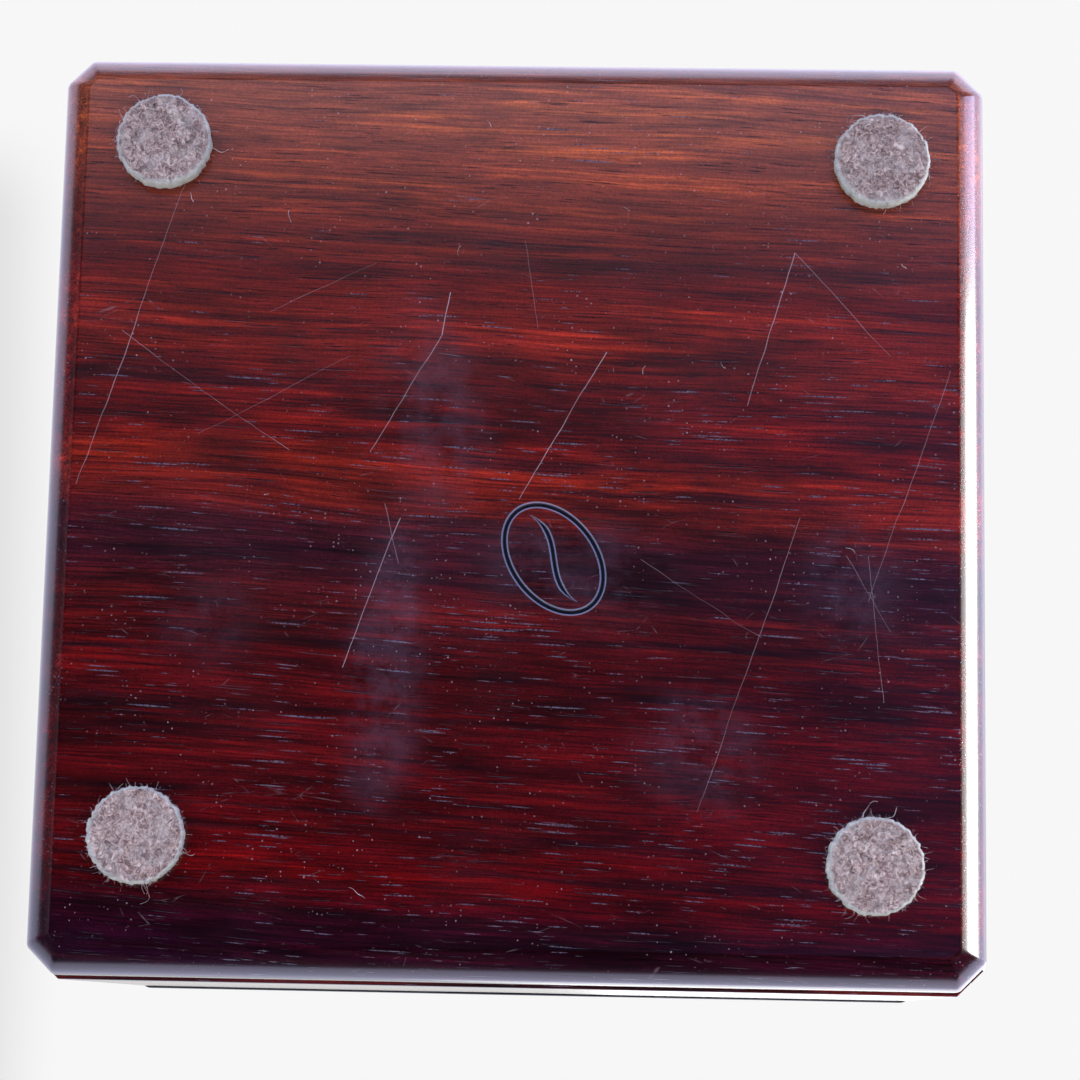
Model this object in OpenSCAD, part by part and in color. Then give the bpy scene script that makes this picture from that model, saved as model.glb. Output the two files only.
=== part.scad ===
// Knock box for an espresso bench: a hardwood case on felt pads, with a lift-out bin and a lift-out bar.
// Millimetres. +Z is up, +X is to the right of someone standing in front, and the pads stand on Z = 0.

/* [Base panel] */
// Width of the base panel, left to right
base_w = 126; // [110:1:170]
// Depth of the base panel, front to back
base_d = 125; // [110:1:170]
// Thickness of the base panel
base_t = 12; // [10:0.5:18]
// Width of the 45 degree chamfer around the underside
under_chamfer = 2.8; // [1:0.1:4]
// Radius that rolls the chamfer into the upright edge
under_round = 4; // [1:0.5:6]
// Size of the 45 degree cut on each upright corner
corner_cut = 3.6; // [2:0.2:6]

/* [Walls] */
// Height of the four walls
wall_h = 76; // [60:1:110]
// Thickness of the four walls
wall_t = 10; // [9:0.5:14]
// How far the walls stand out past the base panel
wall_lip = 0.5; // [0:0.1:1.5]
// Easing on the lower arris of the walls
wall_low_ease = 0.6; // [0.2:0.1:1.5]
// Easing on the rim of the walls
rim_ease = 1.2; // [0.3:0.1:2]
// Width of the finger scoops in the front and back rims
scoop_w = 34; // [20:1:50]
// Height of the finger scoops
scoop_h = 9; // [4:0.5:14]
// How deep the finger scoops go into the wall
scoop_in = 5.5; // [3:0.5:8]

/* [Joinery] */
// Thickness of the keys let in across the mitred corners
key_t = 2.4; // [1.5:0.1:4]
// How deep the keys go in along the corner's diagonal
key_in = 7.5; // [5:0.5:9]
// Number of keys in each corner
key_count = 3; // [2:1:4]
// Diameter of the hidden dowels between base panel and walls
dowel_d = 6; // [4:0.5:6]
// Length of the hidden dowels
dowel_len = 20; // [14:1:24]

/* [Felt pads] */
// Diameter of the felt pads
pad_d = 12.7; // [9:0.1:20]
// Thickness of the felt pads
pad_t = 2.4; // [1.5:0.1:4]

/* [Bin] */
// Wall thickness of the bin
bin_t = 2; // [1.5:0.1:3]
// Floor thickness of the bin
bin_floor_t = 2.4; // [1.5:0.1:4]
// Gap between the bin and the case walls
bin_gap = 0.8; // [0.5:0.1:2]
// Upright corner radius of the bin
bin_corner = 9; // [4:0.5:16]
// Thickness of the bin's flange
flange_t = 2.4; // [1.5:0.1:4]
// How far the flange stands out past the walls
flange_lip = 0.3; // [0:0.1:1.5]
// Thickness of the rubber mat under the bin
mat_t = 2; // [1:0.5:4]

/* [Knock bar] */
// Diameter of the steel rod
rod_d = 10; // [8:0.5:12]
// Depth of the rod's centre below the rim of the walls
rod_drop = 15; // [13:0.5:25]
// Outside diameter of the rubber sleeve
sleeve_d = 22; // [20:0.5:30]
// Wall thickness of the plain bushes that the sleeve turns on
bush_t = 1.12; // [0.8:0.02:1.6]
// Wall thickness of the tube inside the sleeve
core_t = 1; // [0.8:0.1:1.2]
// Diameter of the collars at the ends of the sleeve
collar_d = 20; // [18:0.5:24]
// Width of each collar
collar_w = 6; // [5:0.5:9]
// Length of the plain bushes
bush_len = 12; // [6:0.5:20]
// Thickness of the bushes' flanges
bush_flange_t = 1.2; // [0.8:0.1:2]

/* [Saddles] */
// Wall thickness of the steel saddles that line the slots
saddle_t = 1.6; // [1.2:0.1:2.4]
// Radius of the saddles' face plates
plate_r = 14; // [13.5:0.5:17]
// Thickness of the saddles' face plates
plate_t = 1.5; // [1:0.1:2.5]
// Length of the saddle screws
screw_len = 8; // [6:0.5:8.5]

/* [Hidden] */
$fn = 64;
BIG = 400;
// running clearance of the rod in its saddles and of the bushes on the rod, on the radius
run_gap = 0.05;
// clearance of glued, pressed and screwed pieces, on the radius
seat_gap = 0.03;
// gap that keeps pieces of different bodies apart
air_gap = 0.4;
arc_steps = 5;
// size of the chamfers on the four cut corners, as a share of those on the sides
corner_share = 0.85;

// heights
base_top = pad_t + base_t;
rim_z = base_top + wall_h;
bin_low = base_top + mat_t + air_gap;
top_z = rim_z + flange_t;
rod_z = rim_z - rod_drop;

// case and bin in plan
case_w = base_w + 2 * wall_lip;
case_d = base_d + 2 * wall_lip;
room_w = case_w - 2 * wall_t;
room_d = case_d - 2 * wall_t;
bin_w = room_w - 2 * bin_gap;
bin_d = room_d - 2 * bin_gap;

// how the pads were stuck on by hand: offsets from the corners of the base panel
pad_spots = [[14.9, 13.5], [-14.4, 15.1], [15, -18], [-15.2, -15.8]];

// knock bar, along X
rod_r = rod_d / 2;
rod_len = case_w - 2;
saddle_r = rod_r + 2 * run_gap;
slot_r = saddle_r + saddle_t;
notch_r = rod_r + 1;
collar_out = bin_w / 2 - bin_t - air_gap;
collar_in = collar_out - collar_w;
bush_out = collar_in - air_gap;
sleeve_half = bush_out - bush_flange_t;
bush_r = rod_r + run_gap + bush_t;
core_r = bush_r + seat_gap + core_t;
set_screw_d = 4;
set_screw_len = (collar_d - rod_d) / 2 - 0.6;

// saddle screws
screw_d = 2.8;
screw_head_d = 5.2;
screw_head_h = (screw_head_d - screw_d) / 2;
screw_side = (slot_r + plate_r) / 2;
screw_up = 5;

// dowels: how far from the inside corners, and how deep into the base panel
dowel_inset = 22;
dowel_in_base = base_t - 4.5;
dowel_end_gap = 0.5;

// ornament cut into the underside: a plain bean, an oval with a wavy line through it
bean_at = [-5.6, -7];
bean_len = 15;
bean_wide = 10.4;
bean_turn = 38;
bean_line = 0.9;
bean_deep = 0.6;

// ---------- shared shapes ----------

// an oblong with its four corners cut at 45 degrees
module cut_oblong(w, d, cut) {
  x = w / 2;
  y = d / 2;
  polygon([
    [x - cut, -y], [x, -y + cut], [x, y - cut], [x - cut, y],
    [-x + cut, y], [-x, y - cut], [-x, -y + cut], [-x + cut, -y]
  ]);
}

// an oblong with round corners
module round_oblong(w, d, r) {
  square([w - 2 * r, d], center = true);
  square([w, d - 2 * r], center = true);
  for (x = [-1, 1], y = [-1, 1])
    translate([x * (w / 2 - r), y * (d / 2 - r)]) circle(r = r);
}

// what a long cutter takes off an edge: a 45 degree chamfer that an arc may roll into the upright face
module edge_section(chamfer, round) {
  out = 3;
  arc = [for (i = [0:arc_steps]) let (t = -45 + 45 * i / arc_steps)
    [-round + round * cos(t), chamfer + round * (sin(t) + sin(45))]];
  upper = round > 0 ? concat(arc, [[out, arc[arc_steps][1]]]) : [[out, chamfer + out]];
  back = round > 0 ? arc[0][0] - chamfer : -chamfer;
  polygon(concat([[back - out, -out], [back, 0]], upper, [[out, -out]]));
}

// one straight cutter at a lower edge that lies this far out in this direction
module edge_cutter(reach, turn, chamfer, round) {
  rotate([90, 0, turn]) translate([reach, 0, 0]) linear_extrude(BIG, center = true) edge_section(chamfer, round);
}

// cutters along the eight sides of a cut oblong, at its lower edge; the short corner sides are cut a little less
module edge_cutters(w, d, cut, chamfer, round) {
  for (s = [0, 180]) {
    edge_cutter(w / 2, s, chamfer, round);
    edge_cutter(d / 2, s + 90, chamfer, round);
  }
  for (s = [45:90:315])
    edge_cutter((w / 2 + d / 2 - cut) / sqrt(2), s, chamfer * corner_share, round);
}

// a block with cut corners, its lower edge shaped and its upper edge eased
module eased_block(w, d, h, cut, low_chamfer, low_round, high_chamfer) {
  difference() {
    linear_extrude(h) cut_oblong(w, d, cut);
    edge_cutters(w, d, cut, low_chamfer, low_round);
    translate([0, 0, h]) mirror([0, 0, 1]) edge_cutters(w, d, cut, high_chamfer, 0);
  }
}

// the U of a slot that is open upwards, seen along X, with its round bottom on the rod's axis
module slot_section(r, up) {
  circle(r = r);
  translate([-r, 0]) square([2 * r, up]);
}

// puts a section drawn in Y and Z, with its origin on the rod's axis, along +X from x
module along_bar(x, length) {
  translate([x, 0, rod_z]) rotate([90, 0, 90]) linear_extrude(length) children();
}

// a ring or a disc on the rod's axis
module on_bar(x, length, r, hole_r = 0) {
  translate([x, 0, rod_z]) rotate([0, 90, 0]) difference() {
    cylinder(r = r, h = length);
    if (hole_r > 0) translate([0, 0, -1]) cylinder(r = hole_r, h = length + 2);
  }
}

// ---------- ornament ----------

function bean_point(a, grow) = [(bean_len / 2 + grow) * cos(a), (bean_wide / 2 + grow) * sin(a)];
function bean_wave(x) = 1.5 * sin(x * 360 / bean_len);

module bean_outline(grow) {
  polygon([for (a = [0:9:351]) bean_point(a, grow)]);
}

module bean_groove() {
  translate([bean_at[0], bean_at[1], -1]) rotate([0, 0, bean_turn]) linear_extrude(1 + bean_deep) {
    difference() {
      bean_outline(0);
      bean_outline(-bean_line);
    }
    span = bean_len / 2 - 2;
    xs = [-span:span / 9:span];
    polygon(concat(
      [for (x = xs) [x, bean_wave(x) - bean_line / 2]],
      [for (x = xs) [-x, bean_wave(-x) + bean_line / 2]]));
  }
}

// ---------- case ----------

// centres of the dowels: two for each wall
dowel_spots = [
  for (s = [-1, 1], t = [-1, 1]) [s * (room_w / 2 - dowel_inset), t * (room_d + wall_t) / 2],
  for (s = [-1, 1], t = [-1, 1]) [t * (room_w + wall_t) / 2, s * (room_d / 2 - dowel_inset)]
];

module dowel_holes() {
  for (p = dowel_spots)
    translate([p[0], p[1], base_top - dowel_in_base])
      cylinder(d = dowel_d + 2 * seat_gap, h = dowel_len + dowel_end_gap);
}

module base_dowels() {
  color("burlywood") for (p = dowel_spots)
    translate([p[0], p[1], base_top - dowel_in_base + dowel_end_gap / 2]) cylinder(d = dowel_d, h = dowel_len);
}

module base_panel() {
  color("saddlebrown") difference() {
    translate([0, 0, pad_t]) eased_block(base_w, base_d, base_t, corner_cut, under_chamfer, under_round, 0.4);
    translate([0, 0, pad_t]) bean_groove();
    dowel_holes();
  }
}

// the keys of the corner at (sx, sy); grow lets the slots run out past the faces
module corner_keys(sx, sy, grow = 0) {
  x = case_w / 2 + grow;
  y = case_d / 2 + grow;
  inner = (case_w + case_d) / 2 - corner_cut - key_in * sqrt(2);
  step = wall_h / key_count;
  cut = grow > 0 ? 0 : corner_cut;
  for (i = [0:key_count - 1])
    translate([0, 0, base_top + step * (i + 0.5) - key_t / 2])
      linear_extrude(key_t)
        polygon([
          [sx * x, sy * (inner - x)], [sx * x, sy * (y - cut)],
          [sx * (x - cut), sy * y], [sx * (inner - y), sy * y]
        ]);
}

module wood_keys(sx, sy) {
  color("peru") corner_keys(sx, sy);
}

module key_slots() {
  for (sx = [-1, 1], sy = [-1, 1]) corner_keys(sx, sy, 5);
}

// the plan of one mitred wall: its outer face runs along X at y = -reach
module wall_plan(run, reach) {
  x = run / 2;
  polygon([
    [-x - 1, -reach - 1], [x + 1, -reach - 1],
    [x - wall_t, -reach + wall_t], [-x + wall_t, -reach + wall_t]
  ]);
}

// a wall cut from the shaped case ring, turned to its side of the case
module wall(run, reach, turn) {
  difference() {
    intersection() {
      translate([0, 0, base_top])
        eased_block(case_w, case_d, wall_h, corner_cut, wall_low_ease, 0, rim_ease);
      translate([0, 0, base_top]) rotate([0, 0, turn]) linear_extrude(wall_h) wall_plan(run, reach);
    }
    key_slots();
    dowel_holes();
  }
}

// half-moon scoop under the flange, cut from outside into the front or back wall
module finger_scoop(side) {
  radius = (scoop_w * scoop_w / 4 + scoop_h * scoop_h) / (2 * scoop_h);
  translate([0, side * (case_d / 2 - scoop_in), rim_z - scoop_h + radius])
    rotate([-side * 90, 0, 0]) cylinder(r = radius, h = scoop_in + 5);
}

module front_wall() {
  color("saddlebrown") difference() {
    wall(case_w, case_d / 2, 0);
    finger_scoop(-1);
  }
}

module back_wall() {
  color("saddlebrown") difference() {
    wall(case_w, case_d / 2, 180);
    finger_scoop(1);
  }
}

// room in a side wall for a saddle, its face plate and its screws
module saddle_room(side) {
  along_bar(side > 0 ? room_w / 2 - 1 : -case_w / 2 - 1, wall_t + 2)
    slot_section(slot_r + seat_gap, rod_drop + 1);
  along_bar(side > 0 ? case_w / 2 - plate_t : -case_w / 2 - 1, plate_t + 1)
    slot_section(plate_r + seat_gap, rod_drop + 1);
  saddle_screws_at(side, seat_gap);
}

module left_wall() {
  color("saddlebrown") difference() {
    wall(case_d, case_w / 2, -90);
    saddle_room(-1);
  }
}

module right_wall() {
  color("saddlebrown") difference() {
    wall(case_d, case_w / 2, 90);
    saddle_room(1);
  }
}

module felt_pad(sx, sy, spot) {
  color("rosybrown") translate([sx * base_w / 2 - pad_spots[spot][0], sy * base_d / 2 - pad_spots[spot][1], 0])
    cylinder(d = pad_d, h = pad_t);
}

module damping_mat() {
  color("dimgray") translate([0, 0, base_top]) linear_extrude(mat_t) square([room_w - 1, room_d - 1], center = true);
}

// ---------- saddles ----------

module saddle_screws_at(side, grow) {
  for (y = [-1, 1])
    translate([side * case_w / 2, y * screw_side, rod_z + screw_up]) rotate([0, -side * 90, 0]) {
      cylinder(d = screw_d + 2 * grow, h = screw_len + grow);
      cylinder(d1 = screw_head_d + 2 * grow, d2 = screw_d + 2 * grow, h = screw_head_h);
    }
}

module saddle(side) {
  color("silver") difference() {
    union() {
      along_bar(side > 0 ? room_w / 2 : -case_w / 2, wall_t) slot_section(slot_r, rod_drop);
      along_bar(side > 0 ? case_w / 2 - plate_t : -case_w / 2, plate_t) slot_section(plate_r, rod_drop);
    }
    along_bar(side > 0 ? room_w / 2 - 1 : -case_w / 2 - 1, wall_t + 2) slot_section(saddle_r, rod_drop + 1);
    saddle_screws_at(side, seat_gap);
    // the plate's top edge follows the eased rim
    translate([0, 0, rim_z]) mirror([0, 0, 1]) edge_cutter(case_w / 2, side > 0 ? 0 : 180, rim_ease, 0);
  }
}

module saddle_screws() {
  color("gainsboro") difference() {
    union() {
      saddle_screws_at(-1, 0);
      saddle_screws_at(1, 0);
    }
    // straight driver slots
    for (side = [-1, 1], y = [-1, 1])
      translate([side * case_w / 2, y * screw_side, rod_z + screw_up]) cube([1.4, 5.4, 0.8], center = true);
  }
}

// ---------- bin ----------

module bin() {
  inner_w = bin_w - 2 * bin_t;
  inner_d = bin_d - 2 * bin_t;
  color([0.08, 0.09, 0.1]) difference() {
    union() {
      translate([0, 0, bin_low]) linear_extrude(top_z - bin_low) round_oblong(bin_w, bin_d, bin_corner);
      translate([0, 0, rim_z]) linear_extrude(flange_t)
        cut_oblong(case_w + 2 * flange_lip, case_d + 2 * flange_lip, corner_cut);
    }
    translate([0, 0, bin_low + bin_floor_t]) linear_extrude(BIG) round_oblong(inner_w, inner_d, bin_corner - bin_t);
    along_bar(-BIG / 2, BIG) slot_section(notch_r, BIG);
  }
}

// ---------- knock bar ----------

// the rod, with a small chamfer at each end
module bar_rod() {
  ease = 0.8;
  half = rod_len / 2;
  color("silver") translate([0, 0, rod_z]) rotate([0, 90, 0]) rotate_extrude()
    polygon([
      [0, -half], [rod_r - ease, -half], [rod_r, -half + ease],
      [rod_r, half - ease], [rod_r - ease, half], [0, half]
    ]);
}

// a threaded hole or its set screw, standing on the rod at the middle of a collar
module set_screw_shape(side, grow, length) {
  translate([side * (collar_in + collar_w / 2), 0, rod_z + rod_r + seat_gap])
    cylinder(d = set_screw_d + 2 * grow, h = length);
}

module collar(side) {
  color("silver") difference() {
    on_bar(side > 0 ? collar_in : -collar_out, collar_w, collar_d / 2, rod_r + seat_gap);
    set_screw_shape(side, seat_gap, collar_d);
  }
}

module collar_set_screws() {
  socket_d = 2.3;
  color("dimgray") for (side = [-1, 1]) difference() {
    set_screw_shape(side, 0, set_screw_len);
    translate([side * (collar_in + collar_w / 2), 0, rod_z + rod_r + set_screw_len - 1.8])
      cylinder(d = socket_d, h = 5, $fn = 6);
  }
}

module sleeve_core() {
  color("silver") on_bar(-sleeve_half, 2 * sleeve_half, core_r, core_r - core_t);
}

module rubber_sleeve() {
  color([0.1, 0.1, 0.1]) on_bar(-sleeve_half, 2 * sleeve_half, sleeve_d / 2, core_r + seat_gap);
}

module bush(side) {
  flange_r = core_r + 1.2;
  color("ivory") difference() {
    union() {
      on_bar(side > 0 ? sleeve_half - bush_len : -sleeve_half, bush_len, bush_r);
      on_bar(side > 0 ? sleeve_half : -bush_out, bush_flange_t, flange_r);
    }
    on_bar(-BIG / 2, BIG, rod_r + run_gap);
  }
}

// ---------- the parts ----------

base_panel();
front_wall();
back_wall();
left_wall();
right_wall();
wood_keys(-1, -1);  // corner_keys_front_left
wood_keys(1, -1);  // corner_keys_front_right
wood_keys(-1, 1);  // corner_keys_back_left
wood_keys(1, 1);  // corner_keys_back_right
base_dowels();
felt_pad(1, 1, 0);  // felt_pad_back_right
felt_pad(-1, 1, 1);  // felt_pad_back_left
felt_pad(1, -1, 2);  // felt_pad_front_right
felt_pad(-1, -1, 3);  // felt_pad_front_left
damping_mat();
saddle(-1);  // saddle_left
saddle(1);  // saddle_right
saddle_screws();
bin();
bar_rod();
collar(-1);  // collar_left
collar(1);  // collar_right
collar_set_screws();
sleeve_core();
rubber_sleeve();
bush(-1);  // bush_left
bush(1);  // bush_right
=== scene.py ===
import random
from math import cos, pi, radians, sin, sqrt

import bmesh
import bpy
from mathutils import Matrix, Vector, noise


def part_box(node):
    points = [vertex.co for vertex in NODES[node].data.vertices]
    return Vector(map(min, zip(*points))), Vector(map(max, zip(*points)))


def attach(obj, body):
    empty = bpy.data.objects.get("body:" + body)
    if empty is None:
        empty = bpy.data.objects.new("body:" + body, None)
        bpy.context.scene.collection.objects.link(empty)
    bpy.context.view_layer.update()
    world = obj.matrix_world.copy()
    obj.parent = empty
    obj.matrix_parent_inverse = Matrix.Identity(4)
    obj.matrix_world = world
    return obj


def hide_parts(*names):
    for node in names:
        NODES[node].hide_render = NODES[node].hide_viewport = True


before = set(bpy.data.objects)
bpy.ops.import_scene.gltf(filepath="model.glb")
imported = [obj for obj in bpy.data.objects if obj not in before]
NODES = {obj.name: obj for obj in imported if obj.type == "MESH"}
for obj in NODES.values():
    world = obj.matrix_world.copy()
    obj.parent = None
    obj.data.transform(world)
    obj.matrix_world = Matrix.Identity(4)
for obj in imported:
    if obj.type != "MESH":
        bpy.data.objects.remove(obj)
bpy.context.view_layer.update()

MM = 0.001

# Places that everything else is worked out from, in metres
BASE_LOW, BASE_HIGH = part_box("base_panel")
ROD_LOW, ROD_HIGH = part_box("bar_rod")
SLEEVE_LOW, SLEEVE_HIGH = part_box("rubber_sleeve")
BAR_Z = (ROD_LOW.z + ROD_HIGH.z) / 2
UNDERSIDE = BASE_LOW.z


# ---------------------------------------------------------------- small helpers

def srgb(code):
    """A colour written as sRGB hex, such as "#7A1A10", as the linear colour that a shader takes."""
    levels = [int(code[i:i + 2], 16) / 255 for i in (1, 3, 5)]
    linear = [v / 12.92 if v <= 0.04045 else ((v + 0.055) / 1.055) ** 2.4 for v in levels]
    return (*linear, 1.0)


def add(tree, kind, inputs=None, **settings):
    """Adds a shader node. A value in inputs may be a number, a colour, a node or one of a node's outputs."""
    made = tree.nodes.new("ShaderNode" + kind)
    for key, value in settings.items():
        setattr(made, key, value)
    for key, value in (inputs or {}).items():
        usable = [s for s in made.inputs if s.enabled]
        socket = usable[key] if isinstance(key, int) else next(s for s in usable if s.name == key)
        if isinstance(value, bpy.types.Node):
            value = next(s for s in value.outputs if s.enabled)
        if isinstance(value, bpy.types.NodeSocket):
            tree.links.new(value, socket)
        else:
            socket.default_value = value
    return made


def maths(tree, operation, *values, **settings):
    return add(tree, "Math", dict(enumerate(values)), operation=operation, **settings)


def vectors(tree, operation, *values):
    return add(tree, "VectorMath", dict(enumerate(values)), operation=operation)


def scaled(tree, vector, factor):
    return add(tree, "VectorMath", {0: vector, "Scale": factor}, operation="SCALE")


def in_cells(tree, vector, sizes):
    """Coordinates that grow by one over each of the given sizes along X, Y and Z."""
    return vectors(tree, "MULTIPLY", vector, tuple(1 / size for size in sizes))


def remap(tree, value, start=(0, 1), end=(0, 1), **settings):
    """Turns the range start into the range end, and holds what lies outside at its ends."""
    return add(tree, "MapRange", {"Value": value, "From Min": start[0], "From Max": start[1],
                                  "To Min": end[0], "To Max": end[1]}, **settings)


def mix(tree, factor, a, b):
    return add(tree, "Mix", {"Factor": factor, "A": a, "B": b}, data_type="RGBA")


def clouds(tree, vector, size, detail, roughness=0.5, distortion=0):
    """Fractal noise whose largest lumps are about size across."""
    return add(tree, "TexNoise", {"Vector": vector, "Scale": 1 / size, "Detail": detail,
                                  "Roughness": roughness, "Distortion": distortion})


def in_radians(turn):
    return tuple(radians(angle) for angle in turn)


def set_stops(ramp, stops):
    """Sets a colour ramp's stops from (place, colour) pairs."""
    elements = ramp.color_ramp.elements
    while len(elements) > 1:
        elements.remove(elements[-1])
    for i, (place, colour) in enumerate(stops):
        stop = elements[0] if i == 0 else elements.new(place)
        stop.position = place
        stop.color = srgb(colour)


def new_material(name):
    """An empty material: its node tree, with the coordinates of the piece in millimetres."""
    material = bpy.data.materials.new(name)
    material.use_nodes = True
    tree = material.node_tree
    tree.nodes.clear()
    place = add(tree, "TexCoord")
    in_mm = scaled(tree, place.outputs["Object"], 1 / MM)
    return material, tree, in_mm


def finish_material(tree, shader):
    add(tree, "OutputMaterial", {"Surface": shader})


# ---------------------------------------------------------------- rosewood

# Colours across the base panel, from its front edge (0) to its back edge (1)
PANEL_BANDS = [
    (0.00, "#180212"), (0.05, "#2A0312"), (0.09, "#4E0305"), (0.20, "#460508"), (0.33, "#400406"),
    (0.38, "#460A0C"), (0.42, "#2E0812"), (0.46, "#340913"), (0.49, "#58120E"), (0.53, "#6E170C"),
    (0.57, "#520A0A"), (0.62, "#4E0B0B"), (0.66, "#68160F"), (0.71, "#66150E"), (0.74, "#500C08"),
    (0.80, "#5E1B11"), (0.86, "#7A2F1A"), (0.93, "#843C23"), (1.00, "#6A2C1E"),
]
# Colours across a wall, from its lower edge (0) to its rim (1)
WALL_BANDS = [
    (0.00, "#4A1012"), (0.10, "#5E1A14"), (0.20, "#3A0C12"), (0.27, "#5A1713"), (0.40, "#6E2218"),
    (0.48, "#45100F"), (0.56, "#2C0A12"), (0.62, "#581612"), (0.75, "#701F14"), (0.84, "#4E1211"),
    (0.92, "#341014"), (1.00, "#5E1C16"),
]

# Scratches on the underside that are long enough to be seen one by one:
# from (x, y) to (x, y) in millimetres, width in millimetres, strength
SCRATCHES = [
    ((45, 44), (58, 2), 0.16, 0.55), ((9, 29), (10, 23), 0.20, 0.75), ((10, 23), (19, 7), 0.16, 0.55),
    ((-12, 21), (-1, 1), 0.17, 0.70), ((-37, 35), (-31, 14), 0.17, 0.60),
    ((-37, 35), (-50, 21), 0.13, 0.40), ((15, -2), (22, -22), 0.17, 0.60),
    ((-58, 19), (-47, -12), 0.13, 0.40), ((-38, -1), (-25, -40), 0.14, 0.38),
    ((53, 23), (30, 7), 0.13, 0.38), ((17, 0), (15, -8), 0.13, 0.35), ((22, 20), (42, 9), 0.12, 0.30),
    ((-47, -6), (-49, -25), 0.13, 0.40), ((33, 26), (19, 33), 0.12, 0.30),
    ((-17, -7), (-33, -17), 0.12, 0.30), ((-1, 36), (-3, 24), 0.12, 0.30),
    ((-44, -6), (-50, -16), 0.12, 0.34),
]

# The ornament cut into the underside: a plain bean, an oval with a wavy line through it
BEAN_AT = Vector((-5.6, -7, 0)) * MM
BEAN_LENGTH, BEAN_WIDTH = 17 * MM, 12 * MM
BEAN_TURN = radians(52)

# Dull smears in the polish of the underside, whose pale mauve tint partly paints the milky sheen they
# scatter: centre, half sizes and turn in degrees, strength
SMEARS = [
    ((16, -22), (8, 30), 4, 0.62), ((-25, -32), (13, 13), 20, 0.46), ((-45, -10), (10, 13), 0, 0.46),
    ((-8, -8), (19, 11), 10, 0.42), ((40, -16), (9, 10), 30, 0.30), ((11, 12), (11, 22), -8, 0.42),
]


def scratch_mask(tree, in_mm):
    """1 on the single scratches of the underside and 0 elsewhere, from the distance to each line."""
    total = None
    sway = clouds(tree, in_mm, 9, 2)
    offset = vectors(tree, "SUBTRACT", sway.outputs["Color"], (0.5, 0.5, 0.5))
    moved = vectors(tree, "MULTIPLY_ADD", offset, (0.9, 0.9, 0), in_mm)
    for (x0, y0), (x1, y1), width, strength in SCRATCHES:
        run = Vector((x1 - x0, y1 - y0, 0))
        away = vectors(tree, "SUBTRACT", moved, (x0, y0, 0))
        flat = vectors(tree, "MULTIPLY", away, (1, 1, 0))
        share = vectors(tree, "DOT_PRODUCT", flat, tuple(run / run.length_squared))
        along = maths(tree, "ADD", share.outputs["Value"], 0, use_clamp=True)
        foot = scaled(tree, tuple(run), along)
        off = vectors(tree, "DISTANCE", flat, foot)
        line = remap(tree, off.outputs["Value"], (width / 2, 0), (0, strength),
                     interpolation_type="SMOOTHSTEP")
        total = line if total is None else maths(tree, "MAXIMUM", total, line)
    uneven = remap(tree, sway, (0.35, 0.60), (0.45, 0.95))
    return maths(tree, "MULTIPLY", total, uneven)


def smear_mask(tree, in_mm):
    """Soft ovals where the polish is dull, broken up by noise."""
    total = None
    for (x, y), (half_x, half_y), turn, strength in SMEARS:
        local = add(tree, "Mapping", {
            "Vector": in_mm, "Location": (x, y, 0), "Rotation": (0, 0, radians(turn)),
            "Scale": (half_x, half_y, 1000)}, vector_type="TEXTURE")
        off = vectors(tree, "LENGTH", local)
        spot = remap(tree, off.outputs["Value"], (1, 0.1), (0, strength), interpolation_type="SMOOTHERSTEP")
        total = spot if total is None else maths(tree, "ADD", total, spot)
    cloud = clouds(tree, in_mm, 6, 5, 0.65)
    uneven = remap(tree, cloud, (0.38, 0.66))
    return maths(tree, "MULTIPLY", total, uneven)


def fine_scratches(tree, in_mm):
    """Networks of hairline scratches, kept only in patches, so that they read as short straight strokes."""
    total = None
    for turn, size, seed in ((25, 11, 3), (-48, 16, 41)):
        turned = add(tree, "Mapping", {
            "Vector": in_mm, "Location": (seed, seed * 2, seed), "Rotation": (0, 0, radians(turn)),
            "Scale": (1 / size, 2.2 / size, 0)})
        edge = add(tree, "TexVoronoi", {"Vector": turned, "Scale": 1}, feature="DISTANCE_TO_EDGE")
        line = remap(tree, edge, (0.007, 0.001))
        patch = add(tree, "TexNoise", {"Vector": turned, "Scale": 1.7, "Detail": 3, "Roughness": 0.7})
        here = remap(tree, patch, (0.60, 0.74))
        stroke = maths(tree, "MULTIPLY", line, here)
        total = stroke if total is None else maths(tree, "MAXIMUM", total, stroke)
    return total


def pores(tree, wood, length, spacing, share, seed):
    """Open pores of the wood: spindles along the grain.
    Returns their mask and a random number for each pore."""
    cells = in_cells(tree, wood, (length, spacing, spacing))
    moved = vectors(tree, "ADD", cells, (seed, seed * 3, seed * 7))
    cell = add(tree, "TexVoronoi", {"Vector": moved, "Scale": 1, "Randomness": 1}, feature="F1")
    pick = add(tree, "SeparateColor", {0: cell.outputs["Color"]})
    size = remap(tree, pick.outputs[1], end=(0.45 * share, share))
    near = maths(tree, "DIVIDE", cell.outputs["Distance"], size)
    mask = remap(tree, near, (1, 0.6))
    return mask, pick.outputs[0]


def end_grain(tree, turn):
    """Rises towards 0.72 where the surface faces along the grain."""
    normal = add(tree, "TexCoord").outputs["Normal"]
    turned = add(tree, "Mapping", {"Vector": normal, "Rotation": in_radians(turn)}, vector_type="NORMAL")
    facing = maths(tree, "ABSOLUTE", add(tree, "SeparateXYZ", {0: turned}))
    return remap(tree, facing, (0.88, 0.99), (0, 0.72))


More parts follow.
